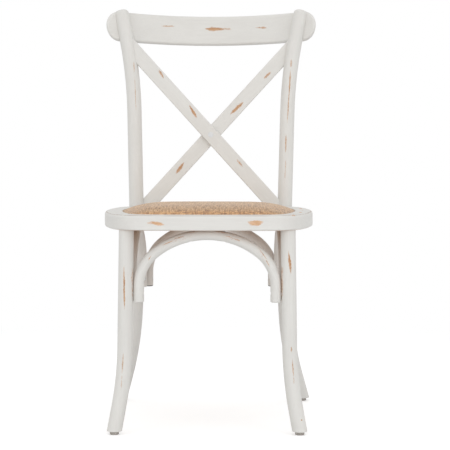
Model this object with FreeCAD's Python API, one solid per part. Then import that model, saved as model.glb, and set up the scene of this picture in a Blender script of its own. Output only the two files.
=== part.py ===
import FreeCAD, Part
import os
from math import atan2, cos, radians, sin, sqrt, tan

from FreeCAD import Vector

# Cross back dining chair: round bent posts and legs, a bowed crest rail, two crossed
# slats, a rounded seat frame with a woven seat, and four bent arches under the seat.
# Millimetres. Seen from the front, X runs to the right, Y to the back and Z up.
# Everything is drawn with Y = 0 at the seat's front edge and moved at the end, so that
# the origin lies on the floor under the middle of the whole chair.

# Overall
OVERALL_HEIGHT = 890.0
GLIDE_HEIGHT = 7.0

# Seat frame
SEAT_WIDTH = 442.0
SEAT_DEPTH = 408.0
SEAT_HEIGHT = 447.0
SEAT_WIDEST_AT = 222.0
FRAME_THICKNESS = 31.0
FRAME_RIM = 37.0
FRAME_LEDGE = 38.0
RABBET_DEPTH = 10.0
FRONT_EDGE_RADIUS = 1100.0
SIDE_EDGE_RADIUS = 520.0
REAR_EDGE_RADIUS = 900.0
FRONT_CORNER_RADIUS = 78.0
REAR_CORNER_RADIUS = 38.0
PANEL_FRONT_CORNER_RADIUS = 44.0
PANEL_REAR_CORNER_RADIUS = 24.0
OPENING_CORNER_RADIUS = 30.0
FRAME_TOP_ROUNDING = 6.0
FRAME_BOTTOM_ROUNDING = 4.0

# Seat panel: plywood board, pad and woven cover
BOARD_THICKNESS = 7.0
CANE_THICKNESS = 1.8
CANE_EDGE_DROP = 1.0
SEAT_CROWN = 17.3
CROWN_SHARPNESS = 5.2
CROWN_STEPS = (1.0, 0.965, 0.91, 0.83, 0.7, 0.52, 0.32)

# Front legs
FRONT_LEG_DIAMETER = 30.6
FRONT_LEG_FROM_SIDE = 56.8
FRONT_LEG_FROM_FRONT = 45.0
FRONT_LEG_LEAN = 5.0
FRONT_KNEE_HEIGHT = 115.0
FRONT_FOOT_SPLAY = 19.4
FRONT_FOOT_REACH = 20.0
FRONT_KNEE_RADIUS = 520.0
TENON_DIAMETER = 20.0
TENON_LENGTH = 17.0

# Back posts, each one round rod from the floor to the top
POST_DIAMETER = 32.3
POST_FROM_SIDE = 55.5
POST_FROM_BACK = 19.0
BACK_LEAN = 8.5
WAIST_DROP = 17.0
WAIST_RADIUS = 560.0
REAR_KNEE_HEIGHT = 150.0
REAR_KNEE_OUT = 3.0
REAR_KNEE_BACK = 8.0
REAR_KNEE_RADIUS = 480.0
REAR_FOOT_SPLAY = 39.5
REAR_FOOT_REACH = 53.0
FLARE_DROP = 147.0
FLARE_START_OUT = 9.0
FLARE_END_OUT = 38.5
FLARE_RADIUS = 1000.0
POST_TOP_ROUNDING = 9.0

# Crest rail
CREST_OVER_SEAT = 30.0
CREST_HEIGHT = 65.5
CREST_THICKNESS = 20.0
CREST_BOW_RADIUS = 430.0
CREST_BELOW_TOP = 3.0
CREST_BEHIND_AXIS = 2.0
CREST_END_LENGTH = 27.5
CREST_ROUNDING = 4.5

# Crossed slats
SLAT_WIDTH = 32.0
SLAT_THICKNESS = 9.0
SLAT_UPPER_DROP = 30.5
SLAT_LOWER_DROP = 5.0
SLAT_MORTISE_DEPTH = 11.0
SLAT_ROUNDING = 1.8

# Bent arches under the seat
ARCH_DIAMETER = 21.6
ARCH_END_HEIGHT = 268.0
ARCH_CROWN_FLATNESS = 32.5
ARCH_SHOULDER_RADIUS = 86.0
ARCH_SEAT_FLAT = 0.5
ARCH_END_ROUNDING = 3.0
REAR_ARCH_FROM_BACK = 18.0
SIDE_LIMB_ANGLE_FRONT = 70.0
SIDE_LIMB_ANGLE_REAR = 57.0

# Wood screws, plugs and pins
SCREW_SHANK = 4.2
SCREW_HEAD = 8.4
SCREW_HEAD_HEIGHT = 3.0
SCREW_RECESS = 1.6
LEG_SCREW_BITE = 17.0
LEG_SCREW_ABOVE_END = 18.0
SEAT_SCREW_BITE = 13.0
SEAT_SCREW_SPREAD = 34.0
BOARD_SCREW_BITE = 5.0
BOARD_SCREW_FROM_EDGE = 9.5
BOARD_SCREW_SPREAD = 70.0
CREST_SCREW_BITE = 13.0
CREST_SCREW_SPREAD = 34.0
PLUG_DIAMETER = 12.0
PLUG_THICKNESS = 2.4
CROSS_SCREW_SHORT = 1.0
PIN_DIAMETER = 2.0
PIN_LENGTH = 16.0
PIN_SET = 0.5
PIN_FROM_SHOULDER = 6.6
PIN_ABOVE_SEAT = 11.0

# Bolts between posts and seat frame
BOLT_ABOVE_FRAME_BOTTOM = 10.3
BOLT_DIAMETER = 6.0
BOLT_HEAD = 13.0
BOLT_HEAD_HEIGHT = 3.0
BOLT_REACH = 50.0
BOLT_RECESS = 5.0
WASHER_THICKNESS = 1.4
BARREL_DIAMETER = 10.0
BARREL_SHORTER = 17.0
BARREL_REACH = 40.0

# Glides under the feet
GLIDE_DIAMETER = 19.0
GLIDE_ROUNDING = 1.5
NAIL_DIAMETER = 2.4
NAIL_HEAD = 7.0
NAIL_HEAD_HEIGHT = 1.2
NAIL_HEAD_ABOVE_FLOOR = 3.0
NAIL_LENGTH = 16.0

# Clearances
FIT = 0.15
CONTACT = 0.2
OVERCUT = 30.0

# What follows from the sizes above
HALF_SEAT = SEAT_WIDTH / 2
CREST_WIDTH = SEAT_WIDTH + CREST_OVER_SEAT
FRAME_BOTTOM = SEAT_HEIGHT - FRAME_THICKNESS
BARREL_LENGTH = FRAME_THICKNESS - BARREL_SHORTER
RABBET_FLOOR = SEAT_HEIGHT - RABBET_DEPTH
BOARD_TOP = RABBET_FLOOR + BOARD_THICKNESS
CANE_EDGE = SEAT_HEIGHT - CANE_EDGE_DROP
CANE_INSET = FRAME_RIM + CONTACT
PAD_INSET = CANE_INSET + CANE_THICKNESS + FIT
OPENING_INSET = FRAME_RIM + FRAME_LEDGE
POST_RADIUS = POST_DIAMETER / 2
FRONT_LEG_RADIUS = FRONT_LEG_DIAMETER / 2
ARCH_RADIUS = ARCH_DIAMETER / 2
POST_X = HALF_SEAT - POST_FROM_SIDE
POST_Y = SEAT_DEPTH - POST_FROM_BACK
FRONT_LEG_X = HALF_SEAT - FRONT_LEG_FROM_SIDE
REAR_ARCH_Y = SEAT_DEPTH - REAR_ARCH_FROM_BACK
WAIST_HEIGHT = SEAT_HEIGHT - WAIST_DROP
LEAN = radians(BACK_LEAN)
POST_END_TILT = atan2(sqrt((FLARE_END_OUT - FLARE_START_OUT) ** 2 + (FLARE_DROP * sin(LEAN)) ** 2),
                      FLARE_DROP * cos(LEAN))
POST_END_RISE = ((POST_RADIUS - POST_TOP_ROUNDING) * sin(POST_END_TILT)
                 + POST_TOP_ROUNDING * (1 - cos(POST_END_TILT)))
POST_TOP = (OVERALL_HEIGHT - WAIST_HEIGHT - POST_END_RISE) / cos(LEAN)
FLARE_START = POST_TOP - FLARE_DROP
CREST_TOP = POST_TOP - CREST_BELOW_TOP
CREST_BOTTOM = CREST_TOP - CREST_HEIGHT
CREST_MIDDLE = (CREST_TOP + CREST_BOTTOM) / 2
SLAT_HIGH = CREST_BOTTOM - SLAT_UPPER_DROP
SLAT_LOW = (SEAT_HEIGHT - SLAT_LOWER_DROP - WAIST_HEIGHT) / cos(LEAN)
LIMB_FIX_HEIGHT = ARCH_END_HEIGHT + LEG_SCREW_ABOVE_END
LIMB_TOUCH_HEIGHT = FRAME_BOTTOM - ARCH_SHOULDER_RADIUS
BOLT_HEIGHT = FRAME_BOTTOM + BOLT_ABOVE_FRAME_BOTTOM
SIDES = (("left", -1), ("right", 1))
UP = Vector(0, 0, 1)
BACKWARD = Vector(0, 1, 0)


# Points, paths and simple solids

def unit(vector):
    return vector * (1 / vector.Length)


def on_back(x, behind, up):
    """A point of the leaning back: across, behind the posts' axes and up along them."""
    return Vector(
        x,
        POST_Y + up * sin(LEAN) + behind * cos(LEAN),
        WAIST_HEIGHT + up * cos(LEAN) - behind * sin(LEAN),
    )


def lean_back(shape):
    """Put a shape drawn as across, behind, up into the leaning back."""
    moved = shape.copy()
    moved.translate(Vector(0, POST_Y, WAIST_HEIGHT))
    moved.rotate(Vector(0, POST_Y, WAIST_HEIGHT), Vector(1, 0, 0), -BACK_LEAN)
    return moved


def rounded_path(points, radii):
    """Straight runs joined by tangent arcs, with one radius for each inner point."""
    edges = []
    start = points[0]
    for before, corner, after, radius in zip(points, points[1:], points[2:], radii):
        arriving = unit(corner - before)
        leaving = unit(after - corner)
        half_turn = arriving.getAngle(leaving) / 2
        reach = radius * tan(half_turn)
        entry = corner - arriving * reach
        end = corner + leaving * reach
        middle = corner + unit(leaving - arriving) * (radius / cos(half_turn) - radius)
        edges.append(Part.LineSegment(start, entry).toShape())
        edges.append(Part.Arc(entry, middle, end).toShape())
        start = end
    edges.append(Part.LineSegment(start, points[-1]).toShape())
    return Part.Wire(edges)


def rod(path, diameter):
    """A round rod along a path."""
    first = path.Edges[0]
    origin = first.valueAt(first.FirstParameter)
    direction = first.tangentAt(first.FirstParameter)
    section = Part.Wire(Part.makeCircle(diameter / 2, origin, direction))
    return path.makePipeShell([section], True, False)


def cylinder(diameter, start, end):
    """A round bar between two points."""
    along = end - start
    return Part.makeCylinder(diameter / 2, along.Length, start, along)


def slab(bottom, top):
    """A block wider than the chair between two heights."""
    size = 4 * max(SEAT_WIDTH, SEAT_DEPTH, CREST_WIDTH)
    return Part.makeBox(size, size, top - bottom, Vector(-size / 2, -size / 2, bottom))


def point_at_height(points, height):
    """Where the straight runs through these points cross a height."""
    for low, high in zip(points, points[1:]):
        if low.z <= height <= high.z:
            return low + (high - low) * ((height - low.z) / (high.z - low.z))
    raise ValueError("height outside the path")


def beyond(inner, end, extra):
    """The end of a run made longer by an extra length."""
    return end + unit(end - inner) * extra


def round_end(shape, near, radius):
    """Round the rim of the flat end face nearest to a point."""
    flat = [face for face in shape.Faces if isinstance(face.Surface, Part.Plane)]
    end = min(flat, key=lambda face: (face.CenterOfMass - near).Length)
    return shape.makeFillet(radius, end.OuterWire.Edges)


def group(solids):
    return Part.makeCompound(solids)


def largest(shape):
    """The largest solid of a cut shape, without a core that a bore across a seam can leave."""
    return max(shape.Solids, key=lambda solid: solid.Volume)


# Screws, each given by its head's outer face and its tip

def screw(head, tip, extra=0.0):
    along = unit(tip - head)
    neck = head + along * (SCREW_HEAD_HEIGHT + extra)
    head_part = cylinder(SCREW_HEAD + 2 * extra, head, neck)
    shank = cylinder(SCREW_SHANK + 2 * extra, head, tip + along * extra)
    return head_part.fuse(shank).removeSplitter()


def screw_bore(head, tip):
    """The room that a screw needs, open behind its head."""
    mouth = cylinder(SCREW_HEAD + 2 * FIT, head - unit(tip - head) * OVERCUT, head)
    return screw(head, tip, FIT).fuse(mouth)


# Seat outline

def turn_centre(first_centre, first_radius, second_centre, second_radius, corner_radius):
    """Centre of a corner arc that touches two larger arcs from inside, on the right side."""
    first_reach = first_radius - corner_radius
    second_reach = second_radius - corner_radius
    between = second_centre - first_centre
    along = (first_reach ** 2 - second_reach ** 2 + between.Length ** 2) / (2 * between.Length)
    aside = sqrt(first_reach ** 2 - along ** 2)
    foot = first_centre + unit(between) * along
    normal = Vector(-between.y, between.x, 0) * (1 / between.Length)
    return max(foot + normal * aside, foot - normal * aside, key=lambda point: point.x)


def bulge(centre, start, end):
    """The middle of the arc between two points of a circle."""
    return centre + unit((start + end) * 0.5 - centre) * (start - centre).Length


def seat_outline(inset, front_corner, rear_corner, height, scale=1.0):
    """The seat's rounded outline drawn in by an inset, as eight tangent arcs."""
    front = Vector(0, FRONT_EDGE_RADIUS, 0)
    side = Vector(HALF_SEAT - SIDE_EDGE_RADIUS, SEAT_WIDEST_AT, 0)
    rear = Vector(0, SEAT_DEPTH - REAR_EDGE_RADIUS, 0)
    front_radius = FRONT_EDGE_RADIUS - inset
    side_radius = SIDE_EDGE_RADIUS - inset
    rear_radius = REAR_EDGE_RADIUS - inset
    front_turn = turn_centre(front, front_radius, side, side_radius, front_corner)
    rear_turn = turn_centre(rear, rear_radius, side, side_radius, rear_corner)
    front_end = front + unit(front_turn - front) * front_radius
    side_low = side + unit(front_turn - side) * side_radius
    side_high = side + unit(rear_turn - side) * side_radius
    rear_end = rear + unit(rear_turn - rear) * rear_radius
    right = [
        (front_end, bulge(front_turn, front_end, side_low), side_low),
        (side_low, bulge(side, side_low, side_high), side_high),
        (side_high, bulge(rear_turn, side_high, rear_end), rear_end),
    ]
    left = [tuple(Vector(-p.x, p.y, 0) for p in reversed(arc)) for arc in reversed(right)]
    back = (rear_end, Vector(0, SEAT_DEPTH - inset, 0), left[0][0])
    front_arc = (left[-1][2], Vector(0, inset, 0), front_end)
    middle = Vector(0, SEAT_DEPTH / 2, 0)
    edges = []
    for arc in right + [back] + left + [front_arc]:
        placed = [middle + (point - middle) * scale + UP * height for point in arc]
        edges.append(Part.Arc(*placed).toShape())
    return Part.Wire(edges)


def panel_outline(inset, height, scale=1.0):
    """The outline of what lies inside the rim, parallel to the rim's inner edge."""
    further = inset - FRAME_RIM
    front_corner = PANEL_FRONT_CORNER_RADIUS - further
    rear_corner = PANEL_REAR_CORNER_RADIUS - further
    return seat_outline(inset, front_corner, rear_corner, height, scale)


def prism(outline, height):
    return Part.Face(outline).extrude(UP * height)


def crowned_solid(inset, bottom, edge_height):
    """A flat-bottomed panel whose top swells towards the middle."""
    sections = []
    for share in CROWN_STEPS:
        rise = SEAT_CROWN * (1 - share ** CROWN_SHARPNESS)
        sections.append(panel_outline(inset, edge_height + rise, share))
    crown = Part.makeLoft(sections, True, False)
    base = prism(panel_outline(inset, bottom), edge_height - bottom)
    return base.fuse(crown).removeSplitter()


# Centre lines of posts, legs and arches

def post_points(side):
    """The straight runs of a post, from its foot to its top."""
    knee = Vector(side * (POST_X + REAR_KNEE_OUT), POST_Y + REAR_KNEE_BACK, REAR_KNEE_HEIGHT)
    foot = knee + Vector(side * REAR_FOOT_SPLAY, REAR_FOOT_REACH, GLIDE_HEIGHT - REAR_KNEE_HEIGHT)
    return [
        foot,
        knee,
        on_back(side * POST_X, 0, 0),
        on_back(side * (POST_X + FLARE_START_OUT), 0, FLARE_START),
        on_back(side * (POST_X + FLARE_END_OUT), 0, POST_TOP),
    ]


def post_path(side):
    points = post_points(side)
    points[0] = beyond(points[1], points[0], OVERCUT)
    return rounded_path(points, (REAR_KNEE_RADIUS, WAIST_RADIUS, FLARE_RADIUS))


def post_out(up):
    """Distance of a post's axis from the middle, at a distance up the leaning back."""
    if up < FLARE_START:
        return POST_X + FLARE_START_OUT * up / FLARE_START
    share = (up - FLARE_START) / FLARE_DROP
    return POST_X + FLARE_START_OUT + (FLARE_END_OUT - FLARE_START_OUT) * share


def front_leg_points(side):
    knee_x = FRONT_LEG_X + FRONT_LEG_LEAN
    return [
        Vector(side * (knee_x + FRONT_FOOT_SPLAY), FRONT_LEG_FROM_FRONT - FRONT_FOOT_REACH, GLIDE_HEIGHT),
        Vector(side * knee_x, FRONT_LEG_FROM_FRONT, FRONT_KNEE_HEIGHT),
        Vector(side * FRONT_LEG_X, FRONT_LEG_FROM_FRONT, FRAME_BOTTOM),
    ]


def front_leg_path(side):
    foot, knee, top = front_leg_points(side)
    runs = [beyond(knee, foot, OVERCUT), knee, beyond(knee, top, OVERCUT)]
    return rounded_path(runs, (FRONT_KNEE_RADIUS,))


def limb_beside(axis, leg_radius, angle, forward):
    """Where an arch's limb stands against a leg, turned by an angle from the inward side."""
    distance = leg_radius + ARCH_RADIUS + CONTACT
    inward = -1 if axis.x > 0 else 1
    turn = radians(angle)
    step = Vector(inward * cos(turn), forward * sin(turn), 0) * distance
    return Vector(axis.x, axis.y, 0) + step


def limb_in_line(axis, leg_radius, line_y):
    """Where an arch's limb stands against a leg when the arch lies on a line across."""
    distance = leg_radius + ARCH_RADIUS + CONTACT
    inward = -1 if axis.x > 0 else 1
    across = sqrt(distance ** 2 - (line_y - axis.y) ** 2)
    return Vector(axis.x + inward * across, line_y, 0)


def arch_ends():
    """For each arch, its two limbs: plan point, runs of the leg beside it and that leg's radius."""
    ends = {"front_arch": [], "rear_arch": []}
    for name, side in SIDES:
        leg = front_leg_points(side)
        post = post_points(side)
        leg_axis = point_at_height(leg, LIMB_TOUCH_HEIGHT)
        post_axis = point_at_height(post, LIMB_TOUCH_HEIGHT)
        front = limb_in_line(leg_axis, FRONT_LEG_RADIUS, FRONT_LEG_FROM_FRONT)
        rear = limb_in_line(post_axis, POST_RADIUS, REAR_ARCH_Y)
        near = limb_beside(leg_axis, FRONT_LEG_RADIUS, SIDE_LIMB_ANGLE_FRONT, 1)
        far = limb_beside(post_axis, POST_RADIUS, SIDE_LIMB_ANGLE_REAR, -1)
        ends["front_arch"].append((front, leg, FRONT_LEG_RADIUS))
        ends["rear_arch"].append((rear, post, POST_RADIUS))
        ends["side_arch_" + name] = [(near, leg, FRONT_LEG_RADIUS), (far, post, POST_RADIUS)]
    return ends


class ArchLine:
    """The centre line of an arch: straight limbs, tight shoulders and a flatter crown."""

    def __init__(self, start, end):
        self.start = start
        self.end = end
        self.middle = (start + end) * 0.5
        self.across = unit(end - start)
        self.half = (end - start).Length / 2
        self.crown_radius = self.half + ARCH_CROWN_FLATNESS
        self.top = FRAME_BOTTOM - ARCH_RADIUS + ARCH_SEAT_FLAT
        reach = self.half - ARCH_SHOULDER_RADIUS
        self.crown_centre = self.top - self.crown_radius
        drop = sqrt((self.crown_radius - ARCH_SHOULDER_RADIUS) ** 2 - reach ** 2)
        self.shoulder_height = self.crown_centre + drop
        self.shoulder_turn = atan2(reach, drop)

    def point(self, along, height):
        return self.middle + self.across * along + UP * height

    def crown_point(self, along):
        return self.point(along, self.crown_centre + sqrt(self.crown_radius ** 2 - along ** 2))

    def shoulder_point(self, side, turn):
        """A point of a shoulder, by its turn from straight up."""
        centre = side * (self.half - ARCH_SHOULDER_RADIUS)
        return self.point(
            centre + side * ARCH_SHOULDER_RADIUS * sin(turn),
            self.shoulder_height + ARCH_SHOULDER_RADIUS * cos(turn),
        )

    def path(self):
        quarter = radians(90)
        middle_turn = (quarter + self.shoulder_turn) / 2
        edges = []
        near = [self.shoulder_point(-1, turn) for turn in (quarter, middle_turn, self.shoulder_turn)]
        far = [self.shoulder_point(1, turn) for turn in (self.shoulder_turn, middle_turn, quarter)]
        edges.append(Part.LineSegment(self.point(-self.half, ARCH_END_HEIGHT), near[0]).toShape())
        edges.append(Part.Arc(*near).toShape())
        edges.append(Part.Arc(near[2], self.crown_point(0), far[0]).toShape())
        edges.append(Part.Arc(*far).toShape())
        edges.append(Part.LineSegment(far[2], self.point(self.half, ARCH_END_HEIGHT)).toShape())
        return Part.Wire(edges)


# Where each fastener goes, as head and tip

def limb_screw_lines():
    lines = []
    for limbs in arch_ends().values():
        for limb, leg, leg_radius in limbs:
            start = Vector(limb.x, limb.y, LIMB_FIX_HEIGHT)
            target = point_at_height(leg, LIMB_FIX_HEIGHT)
            along = unit(target - start)
            head = start - along * (ARCH_RADIUS - SCREW_RECESS)
            lines.append((head, target - along * (leg_radius - LEG_SCREW_BITE)))
    return lines


def seat_screw_lines():
    lines = []
    for limbs in arch_ends().values():
        line = ArchLine(limbs[0][0], limbs[1][0])
        for along in (-SEAT_SCREW_SPREAD, SEAT_SCREW_SPREAD):
            on_rod = line.crown_point(along)
            head = on_rod - UP * (ARCH_RADIUS - SCREW_RECESS)
            lines.append((head, Vector(head.x, head.y, FRAME_BOTTOM + SEAT_SCREW_BITE)))
    return lines


def board_screw_lines():
    near = OPENING_INSET - BOARD_SCREW_FROM_EDGE
    far = SEAT_DEPTH - near
    out = HALF_SEAT - FRAME_RIM - BOARD_SCREW_FROM_EDGE
    places = []
    for _, side in SIDES:
        places.append((side * BOARD_SCREW_SPREAD, near))
        places.append((side * BOARD_SCREW_SPREAD, far))
        places.append((side * out, SEAT_WIDEST_AT))
    lines = []
    for x, y in places:
        head = Vector(x, y, FRAME_BOTTOM + SCREW_RECESS)
        lines.append((head, Vector(x, y, RABBET_FLOOR + BOARD_SCREW_BITE)))
    return lines


def bow_centre():
    """Distance behind the posts' axes of the crest's centre of curvature, which is negative."""
    out = post_out(CREST_MIDDLE)
    return CREST_BEHIND_AXIS - sqrt(CREST_BOW_RADIUS ** 2 - out ** 2)


def crest_screw_lines():
    """Two screws a post, along the bow's radius through the post's axis."""
    lines = []
    centre = bow_centre()
    for _, side in SIDES:
        for offset in (-CREST_SCREW_SPREAD / 2, CREST_SCREW_SPREAD / 2):
            up = CREST_MIDDLE + offset
            out = post_out(up)
            length = sqrt(out ** 2 + centre ** 2)
            outer = (CREST_BOW_RADIUS + CREST_THICKNESS - PLUG_THICKNESS) / length
            reach = CREST_BOW_RADIUS - CREST_SCREW_BITE
            inner = reach / length
            head = on_back(side * out * outer, centre - centre * outer, up)
            tip = on_back(side * out * inner, centre - centre * inner, up)
            lines.append((head, tip))
    return lines


def slat_centre_up(side, x):
    """How far up the back a slat's middle line is at x; side -1 leans to the upper left."""
    high_x = post_out(SLAT_HIGH) - POST_RADIUS
    low_x = post_out(SLAT_LOW) - POST_RADIUS
    share = (side * x + low_x) / (high_x + low_x)
    return SLAT_LOW + (SLAT_HIGH - SLAT_LOW) * share


def crossing_up():
    return slat_centre_up(1, 0)


def cross_screw_line():
    up = crossing_up()
    front = -(CONTACT / 2 + SLAT_THICKNESS)
    head = on_back(0, front + PLUG_THICKNESS, up)
    return head, on_back(0, -front - CROSS_SCREW_SHORT, up)


def slat_pin_lines():
    """One pin for each slat end, driven in from behind the post."""
    lines = []
    off_axis = POST_RADIUS - PIN_FROM_SHOULDER
    surface = sqrt(POST_RADIUS ** 2 - off_axis ** 2)
    low = (SEAT_HEIGHT - WAIST_HEIGHT + PIN_ABOVE_SEAT) / cos(LEAN)
    for _, side in SIDES:
        for up in (SLAT_HIGH, low):
            x = side * (post_out(up) - off_axis)
            head = on_back(x, surface - PIN_SET, up)
            lines.append((head, on_back(x, surface - PIN_SET - PIN_LENGTH, up)))
    return lines


def bolt_floor(side):
    """The floor of the recess in a post's back where its bolt starts."""
    axis = point_at_height(post_points(side), BOLT_HEIGHT)
    return axis + BACKWARD * (POST_RADIUS - BOLT_RECESS)


# Wooden parts

def slat(side, extra=0.0):
    """A flat slat with a lean to the upper left (side -1, in front) or upper right (side 1)."""
    high_x = post_out(SLAT_HIGH) - POST_RADIUS + SLAT_MORTISE_DEPTH + extra
    low_x = post_out(SLAT_LOW) - POST_RADIUS + SLAT_MORTISE_DEPTH + extra
    slope = slat_centre_up(side, side) - slat_centre_up(side, 0)
    half_up = (SLAT_WIDTH / 2 + extra) * sqrt(1 + slope ** 2)
    ends = (side * high_x, -side * low_x)
    corners = []
    for x, sign in ((ends[0], 1), (ends[0], -1), (ends[1], -1), (ends[1], 1)):
        corners.append(Vector(x, 0, slat_centre_up(side, x) + sign * half_up))
    face = Part.Face(Part.makePolygon(corners + corners[:1]))
    start = CONTACT / 2 if side > 0 else -CONTACT / 2 - SLAT_THICKNESS
    face.translate(Vector(0, start - extra, 0))
    solid = face.extrude(Vector(0, SLAT_THICKNESS + 2 * extra, 0))
    if not extra:
        longest = max(edge.Length for edge in solid.Edges)
        long_edges = [edge for edge in solid.Edges if edge.Length > longest / 2]
        solid = solid.makeFillet(SLAT_ROUNDING, long_edges)
    return lean_back(solid).cut(slab(0, SEAT_HEIGHT + CONTACT - extra))


def crest_blank(extra=0.0):
    """The bowed rail before its bores: an arched band cut to a rounded elevation."""
    centre = Vector(0, bow_centre(), CREST_BOTTOM - extra)
    height = CREST_HEIGHT + 2 * extra
    outer = Part.makeCylinder(CREST_BOW_RADIUS + CREST_THICKNESS + extra, height, centre)
    inner = Part.makeCylinder(CREST_BOW_RADIUS - extra, height, centre)
    band = outer.cut(inner)
    half_width = CREST_WIDTH / 2 + extra
    straight = half_width - CREST_END_LENGTH
    half_height = height / 2
    caps = []
    for side in (-1, 1):
        hub = Vector(side * straight, 0, CREST_MIDDLE)
        tip = Vector(side * half_width, 0, CREST_MIDDLE)
        top = Vector(side * straight, 0, CREST_MIDDLE + half_height)
        long_point, short_point = sorted((top, tip), key=lambda point: -(point - hub).Length)
        ellipse = Part.Ellipse(long_point, short_point, hub)
        caps.append(Part.Face(Part.Wire(ellipse.toShape())))
    middle = Part.makePlane(2 * straight, height, Vector(-straight, 0, CREST_BOTTOM - extra),
                            Vector(0, -1, 0), Vector(1, 0, 0))
    reach = CREST_BOW_RADIUS + CREST_THICKNESS
    start = Vector(0, -reach / 2, 0)
    parts = []
    for face in caps + [middle]:
        face.translate(start)
        parts.append(face.extrude(Vector(0, 2 * reach, 0)))
    elevation = parts[0].fuse(parts[1:]).removeSplitter()
    return band.common(elevation)


def crest_rail():
    blank = crest_blank()
    rounded = blank.makeFillet(CREST_ROUNDING, blank.Edges)
    rail = lean_back(rounded)
    tools = [screw_bore(head, tip) for head, tip in crest_screw_lines()]
    tools += [plug_blank(head, tip, FIT) for head, tip in crest_screw_lines()]
    return rail.cut(tools)


def plug_blank(head, tip, extra=0.0):
    """A round plug that starts on a screw's head and runs out past the surface."""
    outward = unit(head - tip)
    return cylinder(PLUG_DIAMETER + 2 * extra, head, head + outward * OVERCUT)


def back_post(side):
    post = rod(post_path(side), POST_DIAMETER)
    post = post.cut(slab(-2 * OVERCUT, GLIDE_HEIGHT))
    post = round_end(post, post_points(side)[-1], POST_TOP_ROUNDING)
    floor = bolt_floor(side)
    tools = [
        lean_back(crest_blank(FIT)),
        slat(-1, FIT),
        slat(1, FIT),
        cylinder(BOLT_HEAD + 2 * FIT, floor, floor + BACKWARD * OVERCUT),
        cylinder(BOLT_DIAMETER + 2 * FIT, floor - BACKWARD * (POST_DIAMETER + OVERCUT), floor),
        nail(post_points(side)[0], FIT),
    ]
    tools += [screw(head, tip, FIT) for head, tip in crest_screw_lines()]
    tools += [screw(head, tip, FIT) for head, tip in limb_screw_lines()]
    tools += [pin(head, tip, FIT) for head, tip in slat_pin_lines()]
    return largest(post.cut(tools))


def front_leg(side):
    foot, _, top = front_leg_points(side)
    leg = rod(front_leg_path(side), FRONT_LEG_DIAMETER)
    leg = leg.cut(slab(-2 * OVERCUT, GLIDE_HEIGHT)).cut(slab(FRAME_BOTTOM, FRAME_BOTTOM + 2 * OVERCUT))
    tenon = cylinder(TENON_DIAMETER, top - UP * TENON_LENGTH, top + UP * TENON_LENGTH)
    leg = leg.fuse(tenon).removeSplitter()
    tools = [screw(head, tip, FIT) for head, tip in limb_screw_lines()]
    return leg.cut(tools + [nail(foot, FIT)])


def arch(limbs):
    line = ArchLine(limbs[0][0], limbs[1][0])
    solid = rod(line.path(), ARCH_DIAMETER)
    for along in (-line.half, line.half):
        solid = round_end(solid, line.point(along, ARCH_END_HEIGHT), ARCH_END_ROUNDING)
    solid = solid.cut(slab(FRAME_BOTTOM, FRAME_BOTTOM + OVERCUT))
    tools = [screw_bore(head, tip) for head, tip in limb_screw_lines() + seat_screw_lines()]
    near = [tool for tool in tools if tool.distToShape(solid)[0] < CONTACT]
    return solid.cut(near)


def seat_frame():
    outline = seat_outline(0.0, FRONT_CORNER_RADIUS, REAR_CORNER_RADIUS, FRAME_BOTTOM)
    frame = prism(outline, FRAME_THICKNESS)
    top_edges = [edge for edge in frame.Edges if edge.BoundBox.ZMin > SEAT_HEIGHT - CONTACT]
    frame = frame.makeFillet(FRAME_TOP_ROUNDING, top_edges)
    bottom_edges = [edge for edge in frame.Edges if edge.BoundBox.ZMax < FRAME_BOTTOM + CONTACT]
    frame = frame.makeFillet(FRAME_BOTTOM_ROUNDING, bottom_edges)
    opening = seat_outline(OPENING_INSET, OPENING_CORNER_RADIUS, OPENING_CORNER_RADIUS,
                           FRAME_BOTTOM - OVERCUT)
    tools = [
        prism(panel_outline(FRAME_RIM, RABBET_FLOOR), OVERCUT),
        prism(opening, FRAME_THICKNESS + 2 * OVERCUT),
    ]
    for _, side in SIDES:
        floor = bolt_floor(side)
        bolt_end = floor - BACKWARD * (BOLT_REACH + POST_RADIUS)
        nut = barrel_centre(side)
        nut_top = nut + UP * (BARREL_LENGTH / 2 + FIT)
        leg_top = front_leg_points(side)[-1]
        tenon_top = leg_top + UP * (TENON_LENGTH + FIT)
        tools.append(rod(post_path(side), POST_DIAMETER + 2 * FIT))
        tools.append(cylinder(BOLT_DIAMETER + 2 * FIT, bolt_end, floor))
        tools.append(cylinder(BARREL_DIAMETER + 2 * FIT, nut - UP * OVERCUT, nut_top))
        tools.append(cylinder(TENON_DIAMETER + 2 * FIT, leg_top - UP * OVERCUT, tenon_top))
    tools += [screw(head, tip, FIT) for head, tip in seat_screw_lines()]
    tools += [screw_bore(head, tip) for head, tip in board_screw_lines()]
    return frame.cut(tools)


def seat_board():
    board = prism(panel_outline(PAD_INSET, RABBET_FLOOR), BOARD_THICKNESS)
    return board.cut([screw(head, tip, FIT) for head, tip in board_screw_lines()])


def seat_pad():
    return crowned_solid(PAD_INSET, BOARD_TOP, CANE_EDGE - CANE_THICKNESS)


def seat_cane():
    """The woven cover, pulled over the pad and down round the board's edge."""
    cover = crowned_solid(CANE_INSET, RABBET_FLOOR + CONTACT, CANE_EDGE)
    inside = crowned_solid(PAD_INSET - FIT, RABBET_FLOOR - OVERCUT, CANE_EDGE - CANE_THICKNESS + FIT)
    return cover.cut(inside)


# Fasteners and glides

def pin(head, tip, extra=0.0):
    along = unit(tip - head)
    return cylinder(PIN_DIAMETER + 2 * extra, head - along * (OVERCUT if extra else 0), tip + along * extra)


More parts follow.
